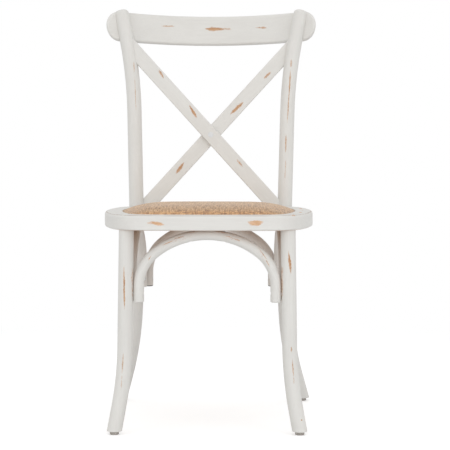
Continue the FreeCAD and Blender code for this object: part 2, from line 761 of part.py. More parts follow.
def nail(foot, extra=0.0):
    """A glide's nail, with its head inside the glide."""
    base = Vector(foot.x, foot.y, NAIL_HEAD_ABOVE_FLOOR - extra)
    head = cylinder(NAIL_HEAD + 2 * extra, base, base + UP * (NAIL_HEAD_HEIGHT + 2 * extra))
    shank = cylinder(NAIL_DIAMETER + 2 * extra, base, base + UP * (NAIL_LENGTH + 2 * extra))
    return head.fuse(shank).removeSplitter()


def glide(foot):
    base = Vector(foot.x, foot.y, 0)
    disc = cylinder(GLIDE_DIAMETER, base, base + UP * GLIDE_HEIGHT)
    return round_end(disc, base, GLIDE_ROUNDING).cut(nail(foot, FIT))


def post_bolt(side):
    floor = bolt_floor(side) + BACKWARD * WASHER_THICKNESS
    head = cylinder(BOLT_HEAD, floor, floor + BACKWARD * BOLT_HEAD_HEIGHT)
    shank = cylinder(BOLT_DIAMETER, floor - BACKWARD * (BOLT_REACH + POST_RADIUS - CONTACT), floor)
    return head.fuse(shank).removeSplitter()


def bolt_washer(side):
    floor = bolt_floor(side)
    disc = cylinder(BOLT_HEAD, floor, floor + BACKWARD * WASHER_THICKNESS)
    bore = cylinder(BOLT_DIAMETER + 2 * FIT, floor - BACKWARD * OVERCUT, floor + BACKWARD * OVERCUT)
    return disc.cut(bore)


def barrel_centre(side):
    return point_at_height(post_points(side), BOLT_HEIGHT) - BACKWARD * BARREL_REACH


def barrel_nut(side):
    centre = barrel_centre(side)
    half = UP * (BARREL_LENGTH / 2)
    barrel = cylinder(BARREL_DIAMETER, centre - half, centre + half)
    bore = cylinder(BOLT_DIAMETER + 2 * FIT, centre - BACKWARD * OVERCUT, centre + BACKWARD * OVERCUT)
    return barrel.cut(bore)


def crest_plug(head, tip):
    blank = lean_back(crest_blank())
    return plug_blank(head, tip).common(blank)


def cross_plug():
    head, tip = cross_screw_line()
    outward = unit(head - tip)
    return cylinder(PLUG_DIAMETER, head, head + outward * PLUG_THICKNESS)


def bored_slat(side):
    head, tip = cross_screw_line()
    tools = [screw(head, tip, FIT), plug_blank(head, tip, FIT)]
    tools += [pin(a, b, FIT) for a, b in slat_pin_lines()]
    return slat(side).cut(tools)


# The whole chair

def build():
    parts = {}
    for name, side in SIDES:
        parts["back_post_" + name] = back_post(side)
        parts["front_leg_" + name] = front_leg(side)
        parts["glide_front_" + name] = glide(front_leg_points(side)[0])
        parts["glide_rear_" + name] = glide(post_points(side)[0])
    for name, limbs in arch_ends().items():
        parts[name] = arch(limbs)
    parts["crest_rail"] = crest_rail()
    parts["cross_slat_front"] = bored_slat(-1)
    parts["cross_slat_rear"] = bored_slat(1)
    parts["seat_frame"] = seat_frame()
    parts["seat_board"] = seat_board()
    parts["seat_pad"] = seat_pad()
    parts["seat_cane"] = seat_cane()
    parts["cross_plug"] = cross_plug()
    parts["cross_screw"] = screw(*cross_screw_line())
    parts["crest_screws"] = group([screw(*line) for line in crest_screw_lines()])
    parts["crest_plugs"] = group([crest_plug(*line) for line in crest_screw_lines()])
    parts["slat_pins"] = group([pin(*line) for line in slat_pin_lines()])
    parts["arch_leg_screws"] = group([screw(*line) for line in limb_screw_lines()])
    parts["arch_seat_screws"] = group([screw(*line) for line in seat_screw_lines()])
    parts["seat_board_screws"] = group([screw(*line) for line in board_screw_lines()])
    parts["post_bolts"] = group([post_bolt(side) for _, side in SIDES])
    parts["post_bolt_washers"] = group([bolt_washer(side) for _, side in SIDES])
    parts["post_barrel_nuts"] = group([barrel_nut(side) for _, side in SIDES])
    feet = [points(side)[0] for points in (front_leg_points, post_points) for _, side in SIDES]
    parts["glide_nails"] = group([nail(foot) for foot in feet])
    return parts


def export(parts):
    os.makedirs("parts", exist_ok=True)
    whole = group(list(parts.values())).optimalBoundingBox(True, False)
    to_middle = Vector(0, -(whole.YMin + whole.YMax) / 2, 0)
    for name, shape in parts.items():
        placed = shape.copy()
        placed.translate(to_middle)
        placed.exportStep("parts/" + name + ".step")


export(build())
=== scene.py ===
import math

import bpy
import numpy as np
from mathutils import Matrix, Vector
from mathutils.bvhtree import BVHTree


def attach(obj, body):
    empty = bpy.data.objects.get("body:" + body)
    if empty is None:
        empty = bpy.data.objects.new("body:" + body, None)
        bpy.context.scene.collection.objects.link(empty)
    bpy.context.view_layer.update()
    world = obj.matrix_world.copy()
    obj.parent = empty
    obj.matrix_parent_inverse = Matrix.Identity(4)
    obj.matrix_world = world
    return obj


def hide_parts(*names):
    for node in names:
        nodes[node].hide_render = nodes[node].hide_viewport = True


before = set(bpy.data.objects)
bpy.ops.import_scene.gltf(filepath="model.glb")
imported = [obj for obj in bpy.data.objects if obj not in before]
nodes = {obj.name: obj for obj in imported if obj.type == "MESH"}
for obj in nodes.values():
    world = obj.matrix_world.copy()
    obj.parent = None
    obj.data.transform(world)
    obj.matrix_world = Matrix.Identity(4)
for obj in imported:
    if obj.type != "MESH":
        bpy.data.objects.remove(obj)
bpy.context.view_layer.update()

# Camera: it stands in front of the chair, a little to the right and above the seat
CAMERA_DISTANCE = 3.5
CAMERA_AZIMUTH = math.radians(1.2)
CAMERA_PITCH = math.radians(3.38)
CAMERA_YAW = math.radians(0.5625)
CAMERA_HEIGHT = 0.6232
PIVOT_Y = -0.062656
LENS = 132.0

# Colours, as written on the surface in linear light
PAINT = (0.755, 0.745, 0.715)
PAINT_SHADE = (0.705, 0.692, 0.662)
RAW_UNDERSIDE = (0.44, 0.26, 0.15)
RIM_GRIME = (0.36, 0.27, 0.21)
# Painted warm bounce light in the shade under the seat
WARM_BOUNCE_TINT = (0.62, 0.49, 0.41)
BARE_WOOD = (0.42, 0.215, 0.105)
BARE_WOOD_PALE = (0.62, 0.375, 0.22)
SEAT_WOOD = (0.60, 0.35, 0.20)
SEAT_WOOD_PALE = (0.74, 0.48, 0.30)
LIMB_END_SHADOW = (0.03, 0.022, 0.018)

# Sizes of the paint's textures, along the grain and across it
FIBRE = (0.055, 0.0011, 0.0011)
BREAKS = (0.0045, 0.0007, 0.0007)
WANDER = (0.016, 0.009, 0.009)
CLOUD = (0.16, 0.035, 0.035)
BRUSH = (0.09, 0.0042, 0.0042)
PATCH = (0.050, 0.0065, 0.0065)

# Colours of the cane, from deep to pale by their place on the ramp, and its tints
CANE_STOPS = (
    (0.12, (0.17, 0.075, 0.025)),
    (0.32, (0.42, 0.22, 0.09)),
    (0.50, (0.64, 0.385, 0.18)),
    (0.80, (0.85, 0.60, 0.34)),
)
# Painted light: a golden tint on the cane's front slope, which faces the light more directly than the top
CANE_FRONT_LIGHT = (1.0, 0.80, 0.56)
CANE_FIBRE = (0.36, 0.19, 0.08)
CANE_PAINTED_SHADE = (0.20, 0.10, 0.04)
FRONT_LIGHT_FROM_Y = -0.196
FRONT_LIGHT_BY_Y = -0.216

# Seat: where it is, the search for its edge, its weave and the pad below
SEAT_CENTRE_Y = -0.058656
RIM_TOP = 0.447
CROWN_EDGE_DROP = 0.0025
ABOVE_SEAT = 0.6
EDGE_POINTS = 360
EDGE_BETWEEN = (0.12, 0.24)
EDGE_HALVINGS = 14
WEAVE_SEED = 11
PITCH = 0.0030
HERRINGBONE = 8
STRAND_WIDTH = 0.00272
STRAND_SPREAD = (0.92, 1.04)
STRAND_RISE = 0.00026
STRAND_CROWN = 0.00022
STRAND_PROFILE = ((-0.5, 0.0), (-0.2, 0.95), (0.2, 0.95), (0.5, 0.0))
STRAND_BELOW_CROWN = 0.0006
STRAND_END_GAP = 0.0004
STRAND_END_DIP = 0.0030
STRAND_BESIDE_CROWN = 0.0012
SHORTEST_STRAND = 3 * PITCH
PAD_SCALE = 0.992
PAD_RINGS = (1.0, 0.97, 0.93, 0.87, 0.79, 0.69, 0.56, 0.42, 0.28, 0.14)
PAD_BELOW_CROWN = 0.0016
PAD_BESIDE_CROWN = 0.001
PAD_BOTTOM = 0.4441

# Stage and light
WHITE = (1, 1, 1, 1)
FLOOR_HALF_SIZE = 12.0
FLOOR_SEEN = (0.88, 0.88, 0.88, 1)
FLOOR_BOUNCE = (0.76, 0.76, 0.76, 1)
FLOOR_LIFT = 0.37
WHITE_FROM = 0.7
WHITE_BY = 1.6
ROOM_LIGHT = 0.79
LAMP_AIM = (0, 0, 0.45)
LAMPS = (
    ("key", (-2.4, -2.4, 0.80), 1.8, 9.5),
    ("fill", (2.4, -2.4, 0.80), 1.8, 12.5),
    ("front", (0.1, -3.4, 0.38), 1.6, 18.5),
    ("top", (0.0, -0.6, 3.0), 2.0, 6.0),
)


# Node trees

def add(tree, kind, inputs=None, **settings):
    """A node with its settings, whose inputs are values or the outputs of other nodes."""
    made = tree.nodes.new(kind)
    for key, value in settings.items():
        setattr(made, key, value)
    for key, value in (inputs or {}).items():
        socket = made.inputs[key]
        if isinstance(value, bpy.types.NodeSocket):
            tree.links.new(value, socket)
        else:
            socket.default_value = value
    return made


def math_node(tree, operation, first, second=0.0, third=0.0, clamp=False):
    made = add(tree, "ShaderNodeMath", {0: first, 1: second, 2: third}, operation=operation, use_clamp=clamp)
    return made.outputs[0]


def vector_node(tree, operation, first, second=(0, 0, 0)):
    made = add(tree, "ShaderNodeVectorMath", {0: first, 1: second}, operation=operation)
    is_number = operation in ("DOT_PRODUCT", "LENGTH", "DISTANCE")
    return made.outputs["Value" if is_number else "Vector"]


def step(tree, value, low, high, out_low=0.0, out_high=1.0):
    """A smooth rise from out_low to out_high as the value goes from low to high."""
    made = add(
        tree, "ShaderNodeMapRange",
        {"Value": value, "From Min": low, "From Max": high, "To Min": out_low, "To Max": out_high},
        interpolation_type="SMOOTHSTEP",
    )
    return made.outputs["Result"]


def mix(tree, factor, first, second, blend="MIX"):
    made = add(tree, "ShaderNodeMix", data_type="RGBA", blend_type=blend)
    for index, value in ((0, factor), (6, first), (7, second)):
        socket = made.inputs[index]
        if isinstance(value, bpy.types.NodeSocket):
            tree.links.new(value, socket)
        elif index == 0:
            socket.default_value = value
        else:
            socket.default_value = (*value, 1.0)
    return made.outputs[2]


def noise(tree, vector, scale=1.0, detail=3.0, roughness=0.5):
    made = add(
        tree, "ShaderNodeTexNoise",
        {"Vector": vector, "Scale": scale, "Detail": detail, "Roughness": roughness},
    )
    return made.outputs["Fac"]


def stretched(tree, vector, size, rotation=(0, 0, 0), shift=(0, 0, 0)):
    """Coordinates in which a texture's features have this size along the turned axes."""
    made = add(
        tree, "ShaderNodeMapping",
        {"Vector": vector, "Location": shift, "Rotation": rotation, "Scale": size},
        vector_type="TEXTURE",
    )
    return made.outputs["Vector"]


def new_material(name):
    material = bpy.data.materials.new(name)
    material.use_nodes = True
    tree = material.node_tree
    tree.nodes.clear()
    shader = tree.nodes.new("ShaderNodeBsdfPrincipled")
    output = tree.nodes.new("ShaderNodeOutputMaterial")
    tree.links.new(shader.outputs[0], output.inputs[0])
    return material, tree, shader


def object_point(tree):
    return add(tree, "ShaderNodeTexCoord").outputs["Object"]


def separate(tree, vector):
    return add(tree, "ShaderNodeSeparateXYZ", {0: vector}).outputs


def combine(tree, x, y, z):
    return add(tree, "ShaderNodeCombineXYZ", {0: x, 1: y, 2: z}).outputs[0]


def bumped(tree, shader, height, strength, distance):
    bump = add(tree, "ShaderNodeBump", {"Height": height, "Strength": strength, "Distance": distance})
    tree.links.new(bump.outputs[0], shader.inputs["Normal"])


def streak_group():
    """How thin the paint is at a point, and for shade streaks how much painted shade it gets: most along a
    line between two points, tapering at its ends.
    """
    group = bpy.data.node_groups.new("wear_and_shade_streak", "ShaderNodeTree")
    for kind, names in (("NodeSocketVector", ("Point", "Start", "End")),
                        ("NodeSocketFloat", ("Radius", "Wander", "Strength"))):
        for name in names:
            group.interface.new_socket(name, in_out="INPUT", socket_type=kind)
    group.interface.new_socket("Level", in_out="OUTPUT", socket_type="NodeSocketFloat")
    source = group.nodes.new("NodeGroupInput").outputs
    flat = (1.0, 0.3, 1.0)
    point = vector_node(group, "MULTIPLY", source["Point"], flat)
    start = vector_node(group, "MULTIPLY", source["Start"], flat)
    end = vector_node(group, "MULTIPLY", source["End"], flat)
    along = vector_node(group, "SUBTRACT", end, start)
    away = vector_node(group, "SUBTRACT", point, start)
    passed = vector_node(group, "DOT_PRODUCT", away, along)
    whole = vector_node(group, "DOT_PRODUCT", along, along)
    share = math_node(group, "DIVIDE", passed, whole, clamp=True)
    foot = add(group, "ShaderNodeVectorMath", {0: along, "Scale": share}, operation="SCALE")
    off = vector_node(group, "DISTANCE", away, foot.outputs["Vector"])
    swing = math_node(group, "ABSOLUTE", math_node(group, "MULTIPLY_ADD", share, 2.0, -1.0))
    taper = math_node(group, "SUBTRACT", 1.0, math_node(group, "POWER", swing, 2.5))
    thickness = math_node(group, "MULTIPLY_ADD", taper, 0.8, 0.2)
    width = math_node(group, "MULTIPLY", source["Radius"], thickness)
    ratio = math_node(group, "DIVIDE", off, math_node(group, "MULTIPLY", width, source["Wander"]))
    level = step(group, ratio, 1.35, 0.25)
    level = math_node(group, "MULTIPLY", level, math_node(group, "MULTIPLY_ADD", taper, 0.7, 0.3))
    level = math_node(group, "MULTIPLY", level, source["Strength"], clamp=True)
    sink = group.nodes.new("NodeGroupOutput")
    group.links.new(level, sink.inputs["Level"])
    return group


STREAK = streak_group()


# Coordinates that follow the grain: x along it, y and z across it

ARCH_RADIUS = 0.15
MITRE_SLOPE = 1.08


def straight_grain(rotation=(0, 0, 0)):
    def build(tree, point):
        return stretched(tree, point, (1, 1, 1), rotation)
    return build


def arch_grain(along_y, centre, height):
    """Grain that follows a bent arch which stands across x or along y."""
    def build(tree, point):
        split = separate(tree, point)
        flat = split["Y"] if along_y else split["X"]
        flat = math_node(tree, "SUBTRACT", flat, centre)
        rise = math_node(tree, "SUBTRACT", split["Z"], height)
        turn = math_node(tree, "ARCTAN2", flat, rise)
        flat_square = math_node(tree, "MULTIPLY", flat, flat)
        rise_square = math_node(tree, "MULTIPLY", rise, rise)
        radius = math_node(tree, "SQRT", math_node(tree, "ADD", flat_square, rise_square))
        length = math_node(tree, "MULTIPLY", turn, ARCH_RADIUS)
        return combine(tree, length, radius, split["X"] if along_y else split["Y"])
    return build


def frame_grain(tree, point):
    """Grain along each rail of the seat frame, with the rails meeting at mitres."""
    split = separate(tree, point)
    out = math_node(tree, "ABSOLUTE", split["X"])
    back = math_node(tree, "ABSOLUTE", math_node(tree, "SUBTRACT", split["Y"], SEAT_CENTRE_Y))
    on_side = math_node(tree, "GREATER_THAN", out, math_node(tree, "MULTIPLY", back, MITRE_SLOPE))
    along_x = combine(tree, split["X"], split["Y"], split["Z"])
    along_y = combine(tree, split["Y"], split["X"], split["Z"])
    made = add(tree, "ShaderNodeMix", data_type="VECTOR")
    tree.links.new(on_side, made.inputs[0])
    tree.links.new(along_x, made.inputs[4])
    tree.links.new(along_y, made.inputs[5])
    return made.outputs[1]


def wear_and_shade_level(tree, point, streaks, patch, wander, facing_back):
    """How far the paint is worn off along the streaks, some of which are painted shade, and in small patches
    away from the front.
    """
    hidden = step(tree, facing_back, -0.15, 0.25)
    level = math_node(tree, "MULTIPLY", step(tree, patch, 0.66, 0.80), hidden)
    spread = step(tree, wander, 0.25, 0.75, 0.72, 1.28)
    for start, end, radius, strength in streaks:
        worn = add(tree, "ShaderNodeGroup")
        worn.node_tree = STREAK
        for key, value in (("Start", start), ("End", end), ("Radius", radius), ("Strength", strength)):
            worn.inputs[key].default_value = value
        tree.links.new(point, worn.inputs["Point"])
        tree.links.new(spread, worn.inputs["Wander"])
        level = math_node(tree, "MAXIMUM", level, worn.outputs[0])
    return level


def seat_frame_edges(tree, colour, upward, fibre, brush):
    """Grime along the upper edge of the seat frame, and raw wood below it."""
    ring = math_node(tree, "MULTIPLY", step(tree, upward, 0.70, 0.85), step(tree, upward, 0.99, 0.95))
    ring = math_node(tree, "MULTIPLY", ring, step(tree, brush, 0.30, 0.65, 0.10, 0.60))
    colour = mix(tree, ring, colour, RIM_GRIME)
    cover = step(tree, fibre, 0.2, 0.5, 0.75, 1.0)
    below = math_node(tree, "MULTIPLY", step(tree, upward, -0.75, -0.95), cover)
    return mix(tree, below, colour, RAW_UNDERSIDE)


def painted_wood(name, grain, streaks=(), seed=0.0, wood=(BARE_WOOD, BARE_WOOD_PALE), rim=False,
                 bounce_tint=0.0, shadowed_end=0.0):
    """Matt pale paint over wood, rubbed through where the streaks are and here and there elsewhere; some
    streaks are painted shade, and arches can get painted warm bounce light and a painted shadow at their limb
    ends.
    """
    material, tree, shader = new_material(name)
    point = object_point(tree)
    along = grain(tree, point)
    shift = (seed * 1.7, seed * 0.9, seed * 0.31)
    fibre = noise(tree, stretched(tree, along, FIBRE, shift=shift), detail=4, roughness=0.6)
    breaks = noise(tree, stretched(tree, along, BREAKS, shift=shift), detail=3, roughness=0.6)
    wander = noise(tree, stretched(tree, along, WANDER, shift=shift), detail=2)
    cloud = noise(tree, stretched(tree, along, CLOUD, shift=shift), detail=2)
    brush = noise(tree, stretched(tree, along, BRUSH, shift=shift), detail=2)
    patch = noise(tree, stretched(tree, along, PATCH, shift=shift), detail=2)
    normal = separate(tree, add(tree, "ShaderNodeTexCoord").outputs["Normal"])
    # Worn streaks show wood through thin paint; the painted shade streaks are drawn with the same wood
    # colours
    level = wear_and_shade_level(tree, point, streaks, patch, wander, normal["Y"])
    even = step(tree, breaks, 0.28, 0.72)
    bare = step(tree, math_node(tree, "SUBTRACT", level, even), -0.30, 0.25)
    mask = math_node(tree, "MULTIPLY", bare, step(tree, level, 0.0, 0.10))
    tone = math_node(tree, "MULTIPLY_ADD", fibre, 0.55, math_node(tree, "MULTIPLY", cloud, 0.65))
    tone = math_node(tree, "ADD", tone, math_node(tree, "MULTIPLY_ADD", brush, 0.4, -0.3))
    paint = mix(tree, step(tree, tone, 0.25, 0.85), PAINT_SHADE, PAINT)
    thin = mix(tree, step(tree, level, 0.0, 0.8, 0.0, 0.45), paint, wood[1])
    deep = mix(tree, step(tree, fibre, 0.35, 0.65), *wood)
    colour = mix(tree, mask, thin, deep)
    height = separate(tree, point)["Z"]
    if rim:
        colour = seat_frame_edges(tree, colour, normal["Z"], fibre, brush)
    # Painted warm bounce light from the seat's underside, strongest near the seat and fading downward
    if bounce_tint:
        colour = mix(tree, step(tree, height, 0.27, 0.41, bounce_tint * 0.4, bounce_tint), colour, WARM_BOUNCE_TINT)
    # Painted shadow at the ends of the rear arch's limbs, below the given height
    if shadowed_end:
        colour = mix(tree, step(tree, height, shadowed_end + 0.0006, shadowed_end), colour, LIMB_END_SHADOW)
    tree.links.new(colour, shader.inputs["Base Color"])
    tree.links.new(step(tree, mask, 0.1, 0.6, 0.52, 0.78), shader.inputs["Roughness"])
    relief = math_node(tree, "MULTIPLY_ADD", fibre, 0.5, math_node(tree, "MULTIPLY", brush, 0.5))
    relief = math_node(tree, "SUBTRACT", relief, math_node(tree, "MULTIPLY", mask, 0.9))
    bumped(tree, shader, relief, 0.55, 0.00022)
    shader.inputs["Specular IOR Level"].default_value = 0.35
    return material


def cane_material(name, across):
    """Split rattan: golden tan with fine fibres and a pale bloom on the skin, with painted shade where
    strands pass under others and painted light on the front slope.
    """
    material, tree, shader = new_material(name)
    point = object_point(tree)
    strand = add(tree, "ShaderNodeAttribute", attribute_name="strand").outputs["Fac"]
    # The attribute low carries painted shade in the weave's hollows
    low = add(tree, "ShaderNodeAttribute", attribute_name="low").outputs["Fac"]
    size = (0.0003, 0.02, 0.01) if across else (0.02, 0.0003, 0.01)
    fibre = noise(tree, stretched(tree, point, size), detail=3, roughness=0.6)
    speck = noise(tree, stretched(tree, point, (0.0034, 0.0034, 0.0034)), detail=3, roughness=0.7)
    blotch = noise(tree, stretched(tree, point, (0.012, 0.006, 0.006)), detail=3, roughness=0.6)
    length = noise(tree, stretched(tree, point, (0.0032, 0.024, 0.024)), detail=2, roughness=0.7)
    # Painted light on the front slope, laid on by position: a golden tint and stronger speckle
    front_light_band = step(tree, separate(tree, point)["Y"], FRONT_LIGHT_FROM_Y, FRONT_LIGHT_BY_Y)
    strand_share = 0.14 if across else 0.04
    length_offset = -0.56 if across else -0.48
    tone = math_node(tree, "MULTIPLY_ADD", strand, strand_share, math_node(tree, "MULTIPLY", speck, 0.55))
    tone = math_node(tree, "ADD", tone, math_node(tree, "MULTIPLY_ADD", length, 1.30, length_offset))
    swing = step(tree, front_light_band, 0.0, 1.0, 0.40, 1.90)
    blotted = math_node(tree, "MULTIPLY", math_node(tree, "SUBTRACT", blotch, 0.47), swing)
    tone = math_node(tree, "ADD", tone, blotted)
    ramp = add(tree, "ShaderNodeValToRGB", {"Fac": tone})
    stops = ramp.color_ramp.elements
    for stop, (place, shade) in ((stops[0], CANE_STOPS[0]), (stops[1], CANE_STOPS[-1])):
        stop.position = place
        stop.color = (*shade, 1)
    for place, shade in CANE_STOPS[1:-1]:
        stops.new(place).color = (*shade, 1)
    golden = mix(tree, math_node(tree, "MULTIPLY", front_light_band, 0.75), ramp.outputs[0], CANE_FRONT_LIGHT, "MULTIPLY")
    colour = mix(tree, step(tree, fibre, 0.3, 0.7, 0.0, 0.22), golden, CANE_FIBRE)
    # Painted shade where strands pass under others, at their sides and at their tucked ends
    colour = mix(tree, math_node(tree, "MULTIPLY", low, 0.55), colour, CANE_PAINTED_SHADE)
    tree.links.new(colour, shader.inputs["Base Color"])
    tree.links.new(step(tree, fibre, 0.2, 0.8, 0.42, 0.62), shader.inputs["Roughness"])
    shader.inputs["Sheen Weight"].default_value = 0.35
    shader.inputs["Sheen Roughness"].default_value = 0.45
    bumped(tree, shader, fibre, 0.4, 0.0001)
    return material


def plain_material(name, dark, light, size, roughness, metallic=0.0):
    """A quieter material for small or hidden pieces, with a mottled colour and a fine bump."""
    material, tree, shader = new_material(name)
    grain = noise(tree, stretched(tree, object_point(tree), size), detail=4, roughness=0.6)
    tree.links.new(mix(tree, step(tree, grain, 0.3, 0.7), dark, light), shader.inputs["Base Color"])
    spread = step(tree, grain, 0.2, 0.8, roughness - 0.08, roughness + 0.08)
    tree.links.new(spread, shader.inputs["Roughness"])
    shader.inputs["Metallic"].default_value = metallic
    bumped(tree, shader, grain, 0.5, 0.0001)
    return material


def dress(material, *names):
    for name in names:
        slots = nodes[name].data.materials
        slots.clear()
        slots.append(material)


# Where the paint is rubbed through, and where painted shade is laid the same way: start, end, half width and
# strength

WORN_AND_SHADED = {
    "crest_rail": [
        ((-0.1141, 0.2249, 0.8546), (-0.0835, 0.2321, 0.8544), 0.0017, 0.62),
        ((-0.0150, 0.2395, 0.8489), (0.0310, 0.2390, 0.8482), 0.0042, 0.92),
        ((-0.0110, 0.2395, 0.8485), (0.0110, 0.2394, 0.8482), 0.0048, 0.85),
        ((0.0250, 0.2385, 0.8496), (0.0470, 0.2375, 0.8475), 0.0026, 0.50),
        ((0.0990, 0.2284, 0.8510), (0.1280, 0.2205, 0.8505), 0.0018, 0.55),
        ((0.1120, 0.2250, 0.8510), (0.1255, 0.2210, 0.8500), 0.0026, 0.70),
    ],
    "back_post_left": [
        ((-0.1735, 0.1634, 0.7720), (-0.1722, 0.1598, 0.7460), 0.0012, 0.75),
        ((-0.1715, 0.1584, 0.7420), (-0.1672, 0.1450, 0.6534), 0.0008, 0.62),
    ],
    "back_post_right": [
        ((0.1805, 0.1626, 0.7780), (0.1795, 0.1592, 0.7568), 0.0020, 0.52),
        ((0.1787, 0.1582, 0.7540), (0.1754, 0.1501, 0.6900), 0.0018, 0.85),
        ((0.1764, 0.1501, 0.7150), (0.1713, 0.1418, 0.6302), 0.0013, 0.78),
        ((0.1690, 0.1345, 0.6150), (0.1677, 0.1311, 0.5655), 0.0016, 0.82),
        ((0.1695, 0.1370, 0.5800), (0.1653, 0.1208, 0.4975), 0.0010, 0.72),
    ],
    "cross_slat_front": [
        ((-0.1179, 0.1656, 0.7533), (-0.1060, 0.1628, 0.7334), 0.0025, 0.62),
        ((-0.0480, 0.1535, 0.6733), (-0.0310, 0.1496, 0.6438), 0.0031, 0.90),
        ((0.0574, 0.1358, 0.5529), (0.0716, 0.1333, 0.5360), 0.0022, 0.60),
    ],
    "cross_slat_rear": [
        ((0.1354, 0.1743, 0.7489), (0.1190, 0.1720, 0.7329), 0.0026, 0.65),
        ((0.0729, 0.1640, 0.6804), (0.0438, 0.1601, 0.6528), 0.0036, 1.00),
        ((-0.0600, 0.1440, 0.5455), (-0.0780, 0.1404, 0.5197), 0.0036, 0.95),
    ],
    "seat_frame": [
        ((-0.1231, -0.2555, 0.4316), (-0.1000, -0.2572, 0.4322), 0.0022, 0.45),
        ((-0.1150, -0.2572, 0.4338), (-0.0850, -0.2588, 0.4285), 0.0036, 0.95),
        ((0.0810, -0.2589, 0.4341), (0.1140, -0.2569, 0.4341), 0.0034, 0.95),
        ((0.0835, -0.2589, 0.4316), (0.1115, -0.2569, 0.4316), 0.0048, 0.95),
        ((0.2150, -0.1679, 0.4395), (0.2151, -0.1679, 0.4425), 0.0026, 0.95),
        ((0.2150, -0.1680, 0.4290), (0.2151, -0.1680, 0.4320), 0.0026, 0.95),
        ((0.1940, 0.0269, 0.4470), (0.2020, 0.0269, 0.4470), 0.0050, 0.75),
        ((0.1885, -0.1302, 0.4470), (0.1965, -0.1302, 0.4470), 0.0050, 0.75),
        ((0.1700, -0.2290, 0.4466), (0.1800, -0.2290, 0.4464), 0.0025, 0.60),
    ],
    "front_leg_left": [
        # This first streak is painted shade in the gap beside the front arch's limb
        ((-0.1535, -0.2176, 0.3560), (-0.1510, -0.2176, 0.2640), 0.0036, 0.35),
        ((-0.1684, -0.2326, 0.3450), (-0.1677, -0.2326, 0.2536), 0.0020, 1.00),
        ((-0.1700, -0.2328, 0.1667), (-0.1728, -0.2350, 0.1211), 0.0014, 0.60),
        ((-0.1728, -0.2350, 0.1211), (-0.1747, -0.2383, 0.0909), 0.0010, 0.45),
    ],
    "front_leg_right": [
        # This first streak is painted shade in the gap beside the front arch's limb
        ((0.1535, -0.2176, 0.3560), (0.1510, -0.2176, 0.2640), 0.0036, 0.62),
        ((0.1648, -0.2326, 0.3740), (0.1700, -0.2321, 0.3274), 0.0026, 0.85),
        ((0.1710, -0.2324, 0.1800), (0.1710, -0.2325, 0.1680), 0.0018, 0.65),
        ((0.1729, -0.2326, 0.1552), (0.1758, -0.2345, 0.1178), 0.0015, 0.60),
        ((0.1758, -0.2345, 0.1198), (0.1766, -0.2364, 0.1037), 0.0010, 0.40),
        ((0.1918, -0.2463, 0.0335), (0.1923, -0.2465, 0.0300), 0.0020, 0.80),
    ],
    "front_arch": [
        ((-0.0930, -0.2268, 0.3840), (-0.0660, -0.2277, 0.3955), 0.0009, 0.66),
        ((-0.0700, -0.2270, 0.3965), (-0.0430, -0.2277, 0.4045), 0.0008, 0.60),
        ((-0.0860, -0.2268, 0.3900), (-0.0260, -0.2278, 0.4060), 0.0070, 0.08),
        ((-0.1200, -0.2281, 0.3530), (-0.1120, -0.2281, 0.3660), 0.0010, 0.55),
        ((-0.0450, -0.2240, 0.4095), (-0.0150, -0.2240, 0.4135), 0.0010, 0.40),
        ((0.0150, -0.2240, 0.4135), (0.0450, -0.2240, 0.4095), 0.0010, 0.40),
        ((0.0350, -0.2279, 0.4048), (0.0530, -0.2276, 0.4004), 0.0008, 0.60),
        ((0.0500, -0.2279, 0.3995), (0.0700, -0.2276, 0.3935), 0.0009, 0.66),
        ((0.0250, -0.2279, 0.4060), (0.0780, -0.2272, 0.3930), 0.0070, 0.08),
        ((0.1050, -0.2258, 0.3790), (0.1210, -0.2275, 0.3560), 0.0010, 0.75),
        ((0.1180, -0.2270, 0.3580), (0.1270, -0.2281, 0.3410), 0.0010, 0.72),
        ((0.0970, -0.2258, 0.3860), (0.1290, -0.2281, 0.3400), 0.0060, 0.08),
    ],
    # Painted warm shade on the side arches' front shoulders under the seat
    "side_arch_left": [
        ((-0.1560, -0.2030, 0.4080), (-0.1560, -0.1500, 0.4080), 0.0110, 0.50),
    ],
    "side_arch_right": [
        ((0.1560, -0.2030, 0.4080), (0.1560, -0.1500, 0.4080), 0.0110, 0.50),
    ],
}

# How the pieces' grain runs, and how much painted warm bounce light the arches get where they meet the seat
UPRIGHT = (0, -math.pi / 2, 0)
SLAT_TURN = math.atan2(0.272, 0.2475)
ARCH_CENTRE_Z = 0.26
SIDE_ARCH_CENTRE_Y = -0.042
# Height of the painted shadow at the ends of the rear arch's limbs
REAR_LIMB_END = 0.2698
PAINTED_WARM_BOUNCE = {"rear_arch": 0.5, "side_arch_left": 0.35, "side_arch_right": 0.35}


